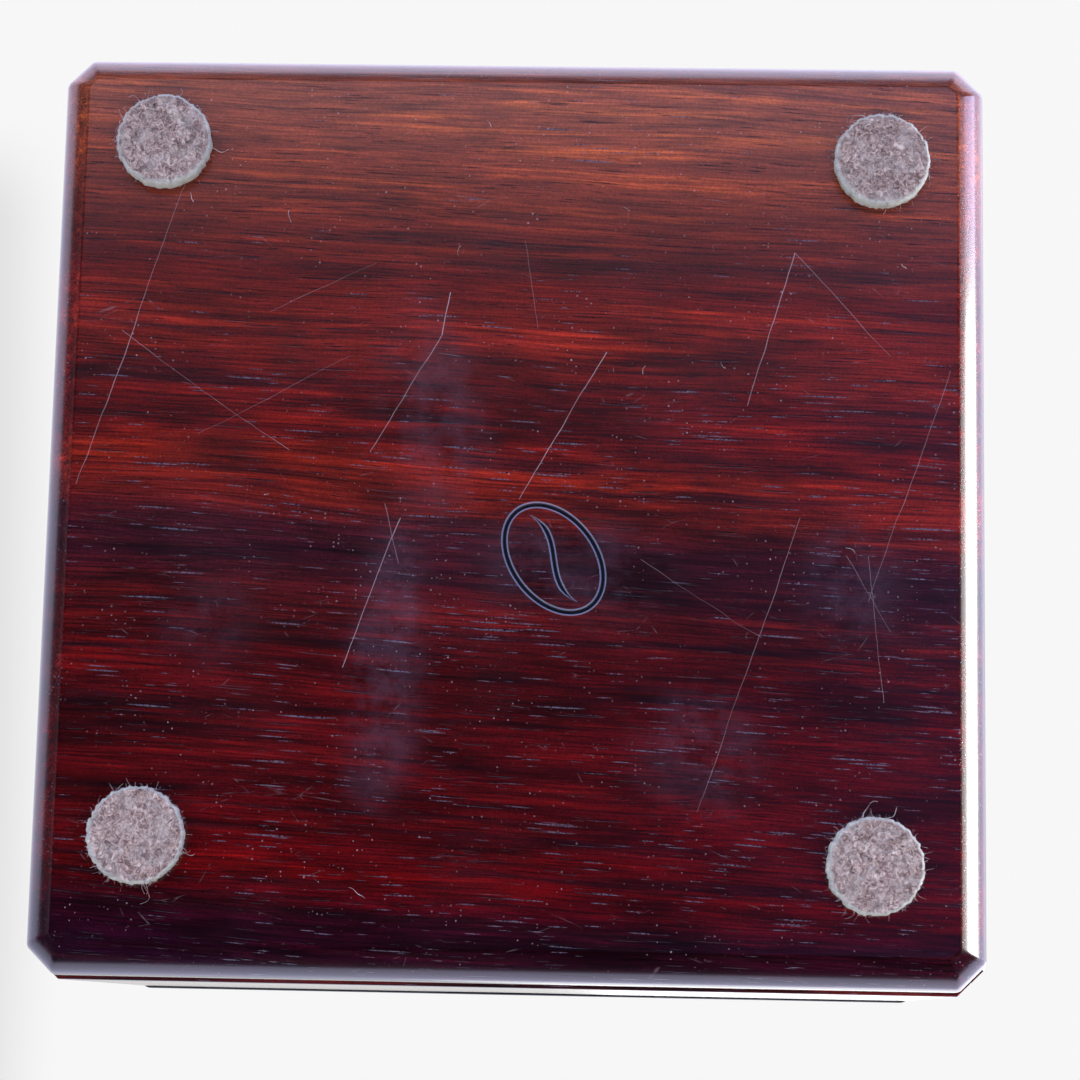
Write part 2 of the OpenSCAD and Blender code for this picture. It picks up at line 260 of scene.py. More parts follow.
def grit_mask(tree, in_mm):
    """Specks of dust and grit, 0.1 to 0.2 mm across, in patches."""
    speck = add(tree, "TexVoronoi", {"Vector": in_mm, "Scale": 1 / 0.62}, feature="F1")
    pick = add(tree, "SeparateColor", {0: speck.outputs["Color"]})
    size = remap(tree, pick.outputs[0], (0.55, 1), (0, 0.22))
    dot = maths(tree, "LESS_THAN", speck.outputs["Distance"], size)
    patch = clouds(tree, in_mm, 8, 5, 0.7)
    there = remap(tree, patch, (0.44, 0.70), (0, 0.5))
    return maths(tree, "MULTIPLY", dot, there)


def groove_shade_and_highlight(tree, in_mm, colour):
    """Painted light on the ornament: the grooves are painted dark inside as shade, and their shoulders pale
    blue-white as a highlight.
    """
    depth = add(tree, "SeparateXYZ", {0: in_mm})
    face = UNDERSIDE / MM
    away = vectors(tree, "DISTANCE", in_mm, tuple(BEAN_AT / MM))
    near = maths(tree, "LESS_THAN", away.outputs["Value"], BEAN_WIDTH / MM)
    # first a painted highlight on the shoulders, then painted shade deep in the grooves
    for top, bottom, share, code in ((0.01, 0.05, 0.55, "#9AA6C4"), (0.10, 0.22, 0.92, "#0C0F20")):
        groove = remap(tree, depth.outputs["Z"], (face + top, face + bottom), (0, share))
        shown = maths(tree, "MULTIPLY", groove, near)
        colour = mix(tree, shown, colour, srgb(code))
    return colour


def rosewood(name, bands, width, turn=(0, 0, 0), shift=(0, 0, 0), used=False):
    """Polished rosewood: dark red heartwood with orange and black-purple bands, streaks along the grain and
    long open pores, with pale painted highlights along some of them. Oil and wax over planed wood give it a
    satin gloss.
    The grain runs along X once the piece is turned, and the bands lie across Y over width millimetres.
    used adds marks to the underside: smears with a partly painted sheen, scratches and grit from wear, and
    painted shade and highlights in the grooves."""
    material, tree, in_mm = new_material(name)
    board = add(tree, "Mapping", {"Vector": in_mm, "Location": shift, "Rotation": in_radians(turn)})
    # slow wander of the grain: about a millimetre over a stretch of 90 mm
    slow = in_cells(tree, board, (90, 24, 24))
    drift = clouds(tree, slow, 1, 2)
    shove = vectors(tree, "SUBTRACT", drift.outputs["Color"], (0.5, 0.5, 0.5))
    bend = vectors(tree, "MULTIPLY", shove, (0, 5, 5))
    wood = vectors(tree, "ADD", board, bend)

    across = add(tree, "SeparateXYZ", {0: wood})
    place = remap(tree, across.outputs["Y"], (-width / 2, width / 2))
    band = add(tree, "ValToRGB", {0: place})
    set_stops(band, bands)

    def streaks(length, size, detail=3.0):
        cells = in_cells(tree, wood, (length, size, size))
        return clouds(tree, cells, 1, detail, 0.6)

    # the underside is plainer towards the back
    calm = remap(tree, across.outputs["Y"], (14, 44), (0, 0.65 if used else 0))
    # dark lines 1 to 3 mm apart, as the late wood of narrow rings
    most = remap(tree, calm, end=(0.74, 0))
    dark = remap(tree, streaks(60, 1.7, 4.0), (0.50, 0.64), (0, most))
    colour = mix(tree, dark, band, srgb("#1D060D"))
    # warm lines between them
    warm = remap(tree, streaks(40, 1.1), (0.52, 0.72), (0, 0.8))
    bright = vectors(tree, "MULTIPLY", colour, (2.4, 2.6, 1.4))
    colour = mix(tree, warm, colour, bright)
    # blotches of darker and redder wood, 5 mm wide and a few centimetres long
    blotch = remap(tree, streaks(26, 4.6, 5.0), (0.36, 0.64), (0.42, 1.55))
    blotch = add(tree, "Mix", {"Factor": calm, "A": blotch, "B": 1.0})
    colour = scaled(tree, colour, blotch)
    # hair-fine lines, 0.2 mm wide
    fine = streaks(11, 0.26, 3.0)
    lift = remap(tree, fine, (0.3, 0.7), (0.36, 1.64))
    colour = scaled(tree, colour, lift)

    # a grain of cut fibres and polish, 0.3 mm across
    crumb = clouds(tree, in_mm, 0.28, 2, 0.8)
    speckle = remap(tree, crumb, (0.3, 0.7), (0.68, 1.32))
    colour = scaled(tree, colour, speckle)
    # end grain soaks up more oil, which makes it darker
    colour = mix(tree, end_grain(tree, turn), colour, srgb("#240A0B"))

    # pores 0.1 to 0.3 mm wide and 1 to 6 mm long; pale blue-grey painted highlights lie broken up along many
    # of them
    long_pore, long_pick = pores(tree, wood, 17, 0.52, 0.25, 3.1)
    short_pore, short_pick = pores(tree, wood, 7, 0.38, 0.23, 8.7)
    pore = maths(tree, "MAXIMUM", long_pore, short_pore)
    deep = maths(tree, "MULTIPLY", pore, 0.8)
    colour = mix(tree, deep, colour, srgb("#120814"))
    zone_cells = in_cells(tree, wood, (26, 5, 5))
    zone = clouds(tree, zone_cells, 1, 2)
    if used:
        # the painted pore highlights are put more towards the front right of the panel, and hardly any
        # towards the back
        aside = remap(tree, across.outputs["X"], (60, -60), (-0.10, 0.03))
        aback = remap(tree, across.outputs["Y"], (8, 40), (0, -0.16))
        glint_placement = maths(tree, "ADD", aside, aback)
        zone = maths(tree, "ADD", zone, glint_placement)
    broken = remap(tree, crumb, (0.40, 0.56))
    # paints pale blue-grey highlights along the pore edges
    for mask, pick in ((long_pore, long_pick), (short_pore, short_pick)):
        least = remap(tree, zone, (0.34, 0.60), (1.0, 0.0))
        pore_glint = maths(tree, "GREATER_THAN", pick, least)
        pale = maths(tree, "MULTIPLY", mask, pore_glint)
        soft = maths(tree, "MULTIPLY", pale, broken)
        glint_strength = maths(tree, "MULTIPLY", soft, 0.6)
        colour = mix(tree, glint_strength, colour, srgb("#7E788E"))

    # a film of dust and old wax in soft clouds, which is also duller; its pale mauve tint partly paints a
    # milky sheen over the polish
    cloud = clouds(tree, in_mm, 26, 6, 0.62)
    film = remap(tree, cloud, (0.48, 0.80), (0, 0.14))
    cut = fine_scratches(tree, board)
    cut = maths(tree, "MULTIPLY", cut, 0.22 if used else 0.12)
    if used:
        smear = smear_mask(tree, in_mm)
        # mixes a pale mauve into the smears: their dust, and in part a painted milky sheen
        smear_dust_and_sheen = maths(tree, "MULTIPLY", smear, 0.20)
        colour = mix(tree, smear_dust_and_sheen, colour, srgb("#77637F"))
        film = maths(tree, "ADD", film, smear, use_clamp=True)
        cut = maths(tree, "MAXIMUM", cut, scratch_mask(tree, in_mm))
        cut = maths(tree, "MAXIMUM", cut, grit_mask(tree, in_mm))
    # pale mauve over the film: dust, and in part a painted sheen
    film_dust_and_sheen = maths(tree, "MULTIPLY", film, 0.07)
    colour = mix(tree, film_dust_and_sheen, colour, srgb("#8A7890"))
    colour = mix(tree, cut, colour, srgb("#C9B8BE"))
    if used:
        # painted shade and highlights in the ornament's grooves
        colour = groove_shade_and_highlight(tree, in_mm, colour)

    rough = remap(tree, film, end=(0.20, 0.44))
    sunk = maths(tree, "MULTIPLY", pore, -1.0)
    grain = maths(tree, "MULTIPLY_ADD", fine, 0.25, sunk)
    bump = add(tree, "Bump", {"Height": grain, "Strength": 0.35, "Distance": 0.03 * MM})
    shader = add(tree, "BsdfPrincipled", {
        "Base Color": colour, "Roughness": rough, "Normal": bump,
        "IOR": 1.5, "Coat Weight": 0.45, "Coat Roughness": 0.10})
    finish_material(tree, shader)
    return material


# ---------------------------------------------------------------- the other materials

def plain_wood(name, pale, dark, turn=(0, 0, 0)):
    """Straight-grained wood, planed and oiled: fine lines along the grain, on X once the piece is turned."""
    material, tree, in_mm = new_material(name)
    board = add(tree, "Mapping", {"Vector": in_mm, "Rotation": in_radians(turn)})
    cells = in_cells(tree, board, (22, 0.5, 0.5))
    lines = clouds(tree, cells, 1, 4, 0.65)
    shade = remap(tree, lines, (0.3, 0.7))
    colour = mix(tree, shade, srgb(dark), srgb(pale))
    rough = remap(tree, lines, end=(0.32, 0.5))
    bump = add(tree, "Bump", {"Height": lines, "Strength": 0.2, "Distance": 0.03 * MM})
    shader = add(tree, "BsdfPrincipled", {"Base Color": colour, "Roughness": rough, "Normal": bump,
                                          "Coat Weight": 0.3, "Coat Roughness": 0.2})
    finish_material(tree, shader)
    return material


def pressed_felt():
    """Pressed wool felt in mixed greys and browns: tangled fibres give a mottled, soft and slightly shiny
    surface, and the cut rim, named "rim" on the mesh, shows paler."""
    material, tree, in_mm = new_material("pressed wool felt")
    tangle = clouds(tree, in_mm, 0.8, 5, 0.78, distortion=1.4)
    colour = add(tree, "ValToRGB", {0: tangle})
    set_stops(colour, [
        (0.34, "#3C2B2A"), (0.43, "#7A615E"), (0.50, "#AC9289"), (0.58, "#D3C0B6"), (0.68, "#FBF3E9")])
    patch = clouds(tree, in_mm, 2.4, 3)
    cool = remap(tree, patch, (0.45, 0.70), (0, 0.5))
    mixed = mix(tree, cool, colour, srgb("#C6C0BA"))
    rim = add(tree, "Attribute", attribute_name="rim")
    fray = clouds(tree, in_mm, 1.1, 5, 0.8)
    reach = maths(tree, "MULTIPLY_ADD", fray, 1.5, -0.75)
    ragged = maths(tree, "ADD", rim.outputs["Fac"], reach)
    frayed = remap(tree, ragged, (0.35, 0.95), (0, 0.72))
    edged = mix(tree, frayed, mixed, srgb("#CDD8D0"))
    hair = clouds(tree, in_mm, 0.16, 3, distortion=2.5)
    both = maths(tree, "ADD", hair, tangle)
    bump = add(tree, "Bump", {"Height": both, "Strength": 0.8, "Distance": 0.12 * MM})
    shader = add(tree, "BsdfPrincipled", {"Base Color": edged, "Roughness": 0.95, "Normal": bump,
                                          "Sheen Weight": 0.35, "Sheen Roughness": 0.5})
    finish_material(tree, shader)
    return material


def wool_fibre():
    """Single wool fibres that stand out of the felt: pale, from silver to sand."""
    material, tree, in_mm = new_material("loose wool fibre")
    along = clouds(tree, in_mm, 1.4, 2)
    colour = add(tree, "ValToRGB", {0: along})
    set_stops(colour, [(0.32, "#5A4A4B"), (0.45, "#9A8C8B"), (0.56, "#C3BDB9"), (0.68, "#DCDDD8")])
    shader = add(tree, "BsdfPrincipled", {"Base Color": colour, "Roughness": 0.7, "Sheen Weight": 0.4})
    finish_material(tree, shader)
    return material


def moulded_plastic(name, colour_code, scuff_code, grain, roughness):
    """Injection-moulded plastic with a spark-eroded grain, which softens the gloss, and a few light scuffs.
    grain is the size of the texture's grains in millimetres."""
    material, tree, in_mm = new_material(name)
    spark = clouds(tree, in_mm, grain, 2)
    wipe = in_cells(tree, in_mm, (14, 3, 9))
    scuff = clouds(tree, wipe, 1, 6, 0.7)
    worn = remap(tree, scuff, (0.55, 0.85), (0, 0.4))
    colour = mix(tree, worn, srgb(colour_code), srgb(scuff_code))
    rough = remap(tree, scuff, (0.3, 0.8), (roughness - 0.06, roughness + 0.16))
    bump = add(tree, "Bump", {"Height": spark, "Strength": 0.35, "Distance": 0.05 * MM})
    shader = add(tree, "BsdfPrincipled", {"Base Color": colour, "Roughness": rough, "Normal": bump})
    finish_material(tree, shader)
    return material


def rubber(name, colour_code, bloom_code, roughness):
    """Moulded nitrile rubber: near black, matt, with a faint grey bloom where it has been handled."""
    material, tree, in_mm = new_material(name)
    patch = clouds(tree, in_mm, 7, 6, 0.68)
    bloom = remap(tree, patch, (0.45, 0.8), (0, 0.55))
    colour = mix(tree, bloom, srgb(colour_code), srgb(bloom_code))
    rough = remap(tree, patch, end=(roughness - 0.1, roughness + 0.15))
    skin = clouds(tree, in_mm, 0.3, 3)
    bump = add(tree, "Bump", {"Height": skin, "Strength": 0.25, "Distance": 0.05 * MM})
    shader = add(tree, "BsdfPrincipled", {"Base Color": colour, "Roughness": rough, "Normal": bump})
    finish_material(tree, shader)
    return material


def brushed_steel(name, colour_code, stretch, roughness):
    """Stainless steel with a brushed grain: fine parallel lines, drawn 0.1 mm wide so that they show.
    stretch gives the lines' size in millimetres along X, Y and Z."""
    material, tree, in_mm = new_material(name)
    cells = in_cells(tree, in_mm, stretch)
    lines = clouds(tree, cells, 1, 4, 0.7)
    cloud = clouds(tree, in_mm, 9, 4)
    shade = remap(tree, lines, (0.25, 0.75), (0.82, 1.08))
    colour = scaled(tree, srgb(colour_code)[:3], shade)
    both = maths(tree, "ADD", lines, cloud)
    rough = remap(tree, both, (0.7, 1.3), (roughness - 0.07, roughness + 0.10))
    bump = add(tree, "Bump", {"Height": lines, "Strength": 0.15, "Distance": 0.02 * MM})
    shader = add(tree, "BsdfPrincipled",
                 {"Base Color": colour, "Metallic": 1, "Roughness": rough, "Normal": bump})
    finish_material(tree, shader)
    return material


# ---------------------------------------------------------------- mesh building

# Points nearer than this are one point, faces that meet flatter than this are one face, and edges sharper
# than this stay sharp in the shading
WELD = 0.002 * MM
FLAT_ANGLE = radians(0.6)
SHARP_ANGLE = radians(50)


def put(name, data):
    """Links a new object that holds data into the scene."""
    made = bpy.data.objects.new(name, data)
    bpy.context.scene.collection.objects.link(made)
    return made


def loft(shape, rings):
    """Joins each ring of points to the next with four-sided faces."""
    for low, high in zip(rings, rings[1:]):
        for i in range(len(low)):
            j = (i + 1) % len(low)
            shape.faces.new((low[i], low[j], high[j], high[i]))


def to_mesh(shape, name, face_out=True):
    """Turns a finished shape into a mesh, with its faces turned to the outside."""
    if face_out:
        bmesh.ops.recalc_face_normals(shape, faces=shape.faces)
    mesh = bpy.data.meshes.new(name)
    shape.to_mesh(mesh)
    shape.free()
    return mesh


def new_piece(name, mesh, material, body, replaces=()):
    """Puts a mesh into the scene as a piece that rides on a body and stands for CAD nodes."""
    piece = put(name, mesh)
    mesh.materials.clear()
    mesh.materials.append(material)
    if replaces:
        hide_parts(*replaces)
    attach(piece, body)
    return piece


def apply_modifiers(piece):
    depsgraph = bpy.context.evaluated_depsgraph_get()
    mesh = bpy.data.meshes.new_from_object(piece.evaluated_get(depsgraph))
    mesh.name = piece.name
    piece.modifiers.clear()
    piece.data = mesh


def settle(piece):
    """Applies a piece's modifiers and shades its rounded edges smooth, with its flat faces kept flat."""
    apply_modifiers(piece)
    piece.data.shade_smooth()
    piece.data.set_sharp_from_angle(angle=SHARP_ANGLE)
    piece.modifiers.new("flat faces", "WEIGHTED_NORMAL").keep_sharp = True
    apply_modifiers(piece)


def softened(node, material, body, width, segments=3, angle=25):
    """A CAD node's shape with its edges rounded, as sanding, moulding or deburring leaves them."""
    shape = bmesh.new()
    shape.from_mesh(NODES[node].data)
    bmesh.ops.remove_doubles(shape, verts=shape.verts, dist=WELD)
    bmesh.ops.dissolve_limit(shape, angle_limit=FLAT_ANGLE, verts=shape.verts, edges=shape.edges)
    mesh = to_mesh(shape, node + "_softened", face_out=False)
    piece = new_piece(node + "_finished", mesh, material, body, (node,))
    round_edges = piece.modifiers.new("round", "BEVEL")
    round_edges.width = width
    round_edges.segments = segments
    round_edges.limit_method = "ANGLE"
    round_edges.angle_limit = radians(angle)
    round_edges.use_clamp_overlap = True
    settle(piece)
    return piece


def dress(node, material):
    """Gives a CAD node whose shape is right its material."""
    mesh = NODES[node].data
    mesh.materials.clear()
    mesh.materials.append(material)


def turned_mesh(name, outline, steps=96):
    """A closed outline of (x, radius) points turned around the bar's axis."""
    shape = bmesh.new()
    rings = []
    for x, radius in outline:
        ring = [shape.verts.new((x, radius * cos(2 * pi * i / steps),
                                 BAR_Z + radius * sin(2 * pi * i / steps)))
                for i in range(steps)]
        rings.append(ring)
    loft(shape, rings + rings[:1])
    return to_mesh(shape, name)


def rounded_ring(x0, x1, inner, outer, ease, steps=4):
    """The outline of a ring or tube with its outer corners rounded by ease."""
    low = [(x0 + ease - ease * cos(t), outer - ease + ease * sin(t))
           for t in (pi / 2 * i / steps for i in range(steps + 1))]
    high = [(x1 - (x - x0), r) for x, r in reversed(low)]
    return [(x0, inner)] + low + high + [(x1, inner)]


# ---------------------------------------------------------------- base panel

def cut_outline(width, depth, cut, blunt, steps=4):
    """Points around an oblong with cut corners, anticlockwise, with each of its eight corners blunted."""
    x, y = width / 2, depth / 2
    corners = [(x - cut, -y), (x, -y + cut), (x, y - cut), (x - cut, y),
               (-x + cut, y), (-x, y - cut), (-x, -y + cut), (-x + cut, -y)]
    points = []
    for i, corner in enumerate(corners):
        here = Vector(corner)
        before = (Vector(corners[i - 1]) - here).normalized()
        after = (Vector(corners[(i + 1) % 8]) - here).normalized()
        for s in range(steps + 1):
            t = s / steps
            points.append(here + before * blunt * (1 - t) ** 2 + after * blunt * t ** 2)
    return points


# The panel's cut corners, how far from each of them sanding has blunted it, and its planed lower edge
CORNER_CUT = 3.6 * MM
CORNER_BLUNT = 0.5 * MM
EDGE_WIDTH = 4.1 * MM
EDGE_START = radians(39)


def panel_rings():
    """(inset, height above the underside) of the panel's edge. The chamfer is planed at EDGE_START where it
    meets the underside, and sanding has rounded it more and more towards the side."""
    steps = 18
    slopes = [EDGE_START + (pi / 2 - EDGE_START) * ((i + 0.5) / steps) ** 1.7 for i in range(steps)]
    step = EDGE_WIDTH / sum(cos(slope) for slope in slopes)
    rings = [(EDGE_WIDTH + 0.25 * MM, 0)]
    inset, height = EDGE_WIDTH, 0.06 * MM
    for slope in slopes:
        rings.append((inset, height))
        inset, height = inset - step * cos(slope), height + step * sin(slope)
    top = BASE_HIGH.z - BASE_LOW.z
    rings += [(0, height), (0, top - 0.5 * MM), (0.12 * MM, top - 0.15 * MM), (0.5 * MM, top)]
    return rings


def panel_mesh():
    """The base panel, with its planed lower edge and a slightly eased upper one."""
    width, depth = BASE_HIGH.x - BASE_LOW.x, BASE_HIGH.y - BASE_LOW.y
    shape = bmesh.new()
    rings = []
    for inset, height in panel_rings():
        cut = CORNER_CUT - inset * (2 - sqrt(2))
        points = cut_outline(width - 2 * inset, depth - 2 * inset, cut, CORNER_BLUNT)
        rings.append([shape.verts.new((p.x, p.y, UNDERSIDE + height)) for p in points])
    loft(shape, rings)
    shape.faces.new(list(reversed(rings[0])))
    shape.faces.new(rings[-1])
    return to_mesh(shape, "base_panel_planed")


# The ornament's grooves: a V with soft shoulders
GROOVE_WIDTH, GROOVE_DEPTH = 1.0 * MM, 0.60 * MM
SHOULDER_WIDTH, SHOULDER_DEPTH = 0.22 * MM, 0.10 * MM
# How far the knife that cuts them stands out below the underside
KNIFE_OUT = 0.15 * MM
# The wavy line's height and its distance from the oval's ends, and how many points each line is cut with
WAVE_HEIGHT, WAVE_END_GAP = 1.5 * MM, 2 * MM
OVAL_STEPS, WAVE_STEPS = 72, 36


def groove_cutter(path, closed, name):
    """A V-shaped knife swept along a path on the underside; its ends taper to nothing on an open path."""
    shape = bmesh.new()
    count = len(path)
    sections = []
    for i, point in enumerate(path):
        before = path[i - 1] if closed or i > 0 else point
        after = path[(i + 1) % count] if closed or i < count - 1 else point
        tangent = (after - before).normalized()
        side = Vector((-tangent.y, tangent.x, 0))
        share = 1 if closed else min(1, 0.15 + 4 * min(i, count - 1 - i) / count)
        half, depth = GROOVE_WIDTH / 2 * share, GROOVE_DEPTH * share
        inner, shoulder = half - SHOULDER_WIDTH * share, SHOULDER_DEPTH * share
        wide = half + SHOULDER_WIDTH * KNIFE_OUT / SHOULDER_DEPTH
        sections.append([shape.verts.new(point + side * across + Vector((0, 0, up))) for across, up in (
            (wide, -KNIFE_OUT), (inner, shoulder), (0, depth), (-inner, shoulder), (-wide, -KNIFE_OUT))])
    loft(shape, sections + sections[:1] if closed else sections)
    if not closed:
        shape.faces.new(sections[0])
        shape.faces.new(sections[-1])
    return put(name, to_mesh(shape, name))


def bean_paths():
    """The oval and the wavy line through it, as points on the underside."""
    spin = Matrix.Rotation(BEAN_TURN, 3, "Z")
    middle = BEAN_AT + Vector((0, 0, UNDERSIDE))
    inset = GROOVE_WIDTH / 2
    half_length, half_width = BEAN_LENGTH / 2 - inset, BEAN_WIDTH / 2 - inset
    oval = [middle + spin @ Vector((half_length * cos(a), half_width * sin(a), 0))
            for a in (2 * pi * i / OVAL_STEPS for i in range(OVAL_STEPS))]
    reach = BEAN_LENGTH / 2 - WAVE_END_GAP
    wave = [middle + spin @ Vector((x, WAVE_HEIGHT * sin(2 * pi * x / BEAN_LENGTH), 0))
            for x in (reach * (2 * i / WAVE_STEPS - 1) for i in range(WAVE_STEPS + 1))]
    return oval, wave


def carve(piece, cutters):
    """Cuts the cutters out of the piece and removes them."""
    for cutter in cutters:
        cut = piece.modifiers.new("carve", "BOOLEAN")
        cut.object = cutter
        cut.operation = "DIFFERENCE"
        cut.solver = "EXACT"
    settle(piece)
    for cutter in cutters:
        bpy.data.objects.remove(cutter)


# ---------------------------------------------------------------- felt pads

def felt_mesh(name, centre, radius, thickness, seed):
    """A pressed felt disc: ragged rim, soft shoulders and an uneven face.
    "rim" on its points is 1 at the cut edge."""
    shape = bmesh.new()
    rim = shape.verts.layers.float.new("rim")
    around, across = 168, 30
    worn_towards = -2.0 + 0.5 * seed
    offset = Vector((seed * 13.7, seed * 5.1, seed * 2.3))
    rings = []
    # from the middle of the face out over the shoulder and up to the panel
    shoulder = 0.45 * MM
    profile = [(radius * i / across, 0.0, 0.0) for i in range(1, across - 1)]
    for i in range(1, 6):
        t = pi / 2 * i / 5
        profile.append((radius - shoulder + shoulder * sin(t), shoulder * (1 - cos(t)), 1.0))
    profile += [(radius, thickness * 0.6, 1.0), (radius - 0.1 * MM, thickness, 1.0)]
    for distance, height, edge in profile:
        ring = []
        for k in range(around):
            a = 2 * pi * k / around
            direction = Vector((cos(a), sin(a), 0))
            ragged = noise.fractal(direction * 9 + offset, 0.6, 2.0, 5) * 0.22 * MM
            share = (distance / radius) ** 6
            point = centre + direction * (distance + ragged * share)
            lumps = noise.fractal(point / MM * 0.9 + offset, 0.7, 2.1, 4)
            fuzz = noise.noise(point / MM * 4.5 + offset)
            rise = height + (0.10 * lumps + 0.06 * fuzz + 0.10) * MM if height < 0.5 * thickness else height
            vert = shape.verts.new((point.x, point.y, max(0.0, rise)))
            worn_side = 0.06 * cos(a - worn_towards)
            near_edge = max(0.9 * edge, min(1.0, max(0.0, (distance / radius - 0.86 + worn_side) / 0.16)))
            vert[rim] = near_edge
            ring.append(vert)
        rings.append(ring)
    middle = shape.verts.new((centre.x, centre.y, 0.1 * MM))
    for k in range(around):
        shape.faces.new((middle, rings[0][(k + 1) % around], rings[0][k]))
    loft(shape, rings)
    shape.faces.new(rings[-1])
    mesh = to_mesh(shape, name)
    mesh.shade_smooth()
    return mesh


def add_fibre(shape, start, heading, length, curl, thick, lift):
    """One wool fibre: a thin three-sided tube that curls as it goes.
    lift gives its height at each share of its length."""
    steps = max(6, int(length / (0.28 * MM)))
    point = Vector(start)
    angle = heading
    rings = []
    for i in range(steps + 1):
        share = i / steps
        direction = Vector((cos(angle), sin(angle), 0))
        side = Vector((-direction.y, direction.x, 0))
        size = thick * (1 - 0.55 * share)
        here = Vector((point.x, point.y, lift(share)))
        rings.append([shape.verts.new(here + side * size * cos(t) + Vector((0, 0, size * sin(t))))
                      for t in (0, 2 * pi / 3, 4 * pi / 3)])
        point = point + direction * (length / steps)
        angle += curl * (length / steps) / MM + 0.25 * sin(9 * share + heading * 7)
    shape.faces.new(list(reversed(rings[0])))
    loft(shape, rings)
    shape.faces.new(rings[-1])


# Loose fibres on each pad
FACE_FIBRES, RIM_FIBRES, STRAY_FIBRES = 330, 150, 2


def fibre_mesh(name, centre, radius, seed):
    """The loose fibres of one pad: short ones over its face, finer ones at its rim and a few long strays."""
    draw = random.Random(seed)
    shape = bmesh.new()
    for _ in range(FACE_FIBRES):
        a, d = draw.uniform(0, 2 * pi), radius * sqrt(draw.random()) * 0.97
        start = centre + Vector((cos(a), sin(a), 0)) * d
        add_fibre(shape, start, draw.uniform(0, 2 * pi), draw.uniform(0.7, 2.2) * MM,
                  draw.uniform(-1.1, 1.1), draw.uniform(0.018, 0.036) * MM,
                  lambda s, h=draw.uniform(0.0, 0.07) * MM: h)
    for _ in range(RIM_FIBRES):
        a = draw.uniform(0, 2 * pi)
        start = centre + Vector((cos(a), sin(a), 0)) * radius * draw.uniform(0.95, 1.0)
        heading = a + draw.uniform(-1.3, 1.3)
        height = draw.uniform(0.1, 1.6) * MM
        add_fibre(shape, start, heading, draw.uniform(0.3, 0.8) * MM, draw.uniform(-1.6, 1.6),
                  draw.uniform(0.016, 0.028) * MM, lambda s, h=height: h)
    for _ in range(STRAY_FIBRES):
        a = draw.uniform(0, 2 * pi)
        start = centre + Vector((cos(a), sin(a), 0)) * radius * 0.97
        top = UNDERSIDE - 0.12 * MM
        add_fibre(shape, start, a + draw.uniform(-1.2, 1.2), draw.uniform(2.0, 4.5) * MM,
                  draw.choice((-1, 1)) * draw.uniform(0.3, 0.9), 0.05 * MM,
                  lambda s, t=top: t - 1.1 * MM * (1 - s) ** 2)
    return to_mesh(shape, name, face_out=False)


# Bits of lint: x, y and length in millimetres
LINT = [
    (31, 40, 1.8), (-17, 18, 1.3), (18, -52, 2.6), (-14, 41, 1.2), (44, 41, 1.4), (26, 44, 1.0),
    (-28, 19, 1.2), (8, 34, 1.5), (-44, -5, 1.6), (4, 52, 1.1), (-52, 33, 0.9), (33, 1, 0.7),
]


def lint_mesh():
    """Bits of lint that cling to the polished underside."""
    draw = random.Random(77)
    shape = bmesh.new()
    top = UNDERSIDE - 0.05 * MM
    for x, y, length in LINT:
        add_fibre(shape, Vector((x, y, 0)) * MM, draw.uniform(0, 2 * pi), length * MM,
                  draw.uniform(-1.4, 1.4), 0.05 * MM, lambda s: top)
    return to_mesh(shape, "lint", face_out=False)


# ---------------------------------------------------------------- camera

def aim(thing, place, target, roll=0.0):
    """Puts a camera or light at place, looking at target, with +Y of the object upwards in its view."""
    back = (Vector(place) - Vector(target)).normalized()
    up = Vector((0, 1, 0)) if abs(back.z) > 0.7 else Vector((0, 0, 1))
    right = up.cross(back).normalized()
    turn = Matrix((right, back.cross(right), back)).transposed()
    thing.matrix_world = Matrix.Translation(Vector(place)) @ (turn @ Matrix.Rotation(roll, 3, "Z")).to_4x4()


# The underside is what is looked at, so the camera stands below the box, a little in front, and looks up
CAMERA_PLACE = (-0.01497, -0.06700, -0.37500)
CAMERA_TARGET = (-0.00367, -0.00414, 0.00500)
CAMERA_ROLL = radians(1.17)
lens = bpy.data.cameras.new("camera")
lens.lens = 96.6
lens.sensor_width = 36
camera = put("camera", lens)
aim(camera, CAMERA_PLACE, CAMERA_TARGET, CAMERA_ROLL)
bpy.context.scene.camera = camera


# ---------------------------------------------------------------- materials, made once

panel_wood = rosewood("polished rosewood, base panel", PANEL_BANDS, 125, turn=(0, 0, -2.8), used=True)
long_wood = rosewood("polished rosewood, front and back walls", WALL_BANDS, 76, turn=(-90, 0, 0),
                     shift=(31, -52.4, 17))
cross_wood = rosewood("polished rosewood, side walls", WALL_BANDS, 76, turn=(-90, -90, 0),
                      shift=(-63, -52.4, 40))
key_wood = plain_wood("oiled bubinga, corner keys", "#8C4528", "#5A2417", turn=(0, 0, 45))
dowel_wood = plain_wood("bare beech, dowels", "#CBA27A", "#A97C55", turn=(0, 90, 0))
felt = pressed_felt()
fibre = wool_fibre()
bin_plastic = moulded_plastic("moulded polypropylene, bin", "#0E1013", "#2A2C30", 0.35, 0.42)
nylon = moulded_plastic("moulded nylon, bushes", "#DAD6C8", "#BDB8A8", 0.4, 0.40)
sleeve_rubber = rubber("moulded nitrile rubber, sleeve", "#0D0D0E", "#2B2A2B", 0.50)
mat_rubber = rubber("moulded rubber, mat", "#121213", "#2E2D2E", 0.66)
rod_steel = brushed_steel("turned stainless steel, rod and collars", "#C2C3C5", (0.12, 5, 5), 0.24)
plate_steel = brushed_steel("brushed stainless steel, saddles", "#BDBEC1", (9, 0.12, 9), 0.27)
screw_steel = brushed_steel("turned stainless steel, screws", "#B4B5B8", (0.1, 2, 2), 0.26)
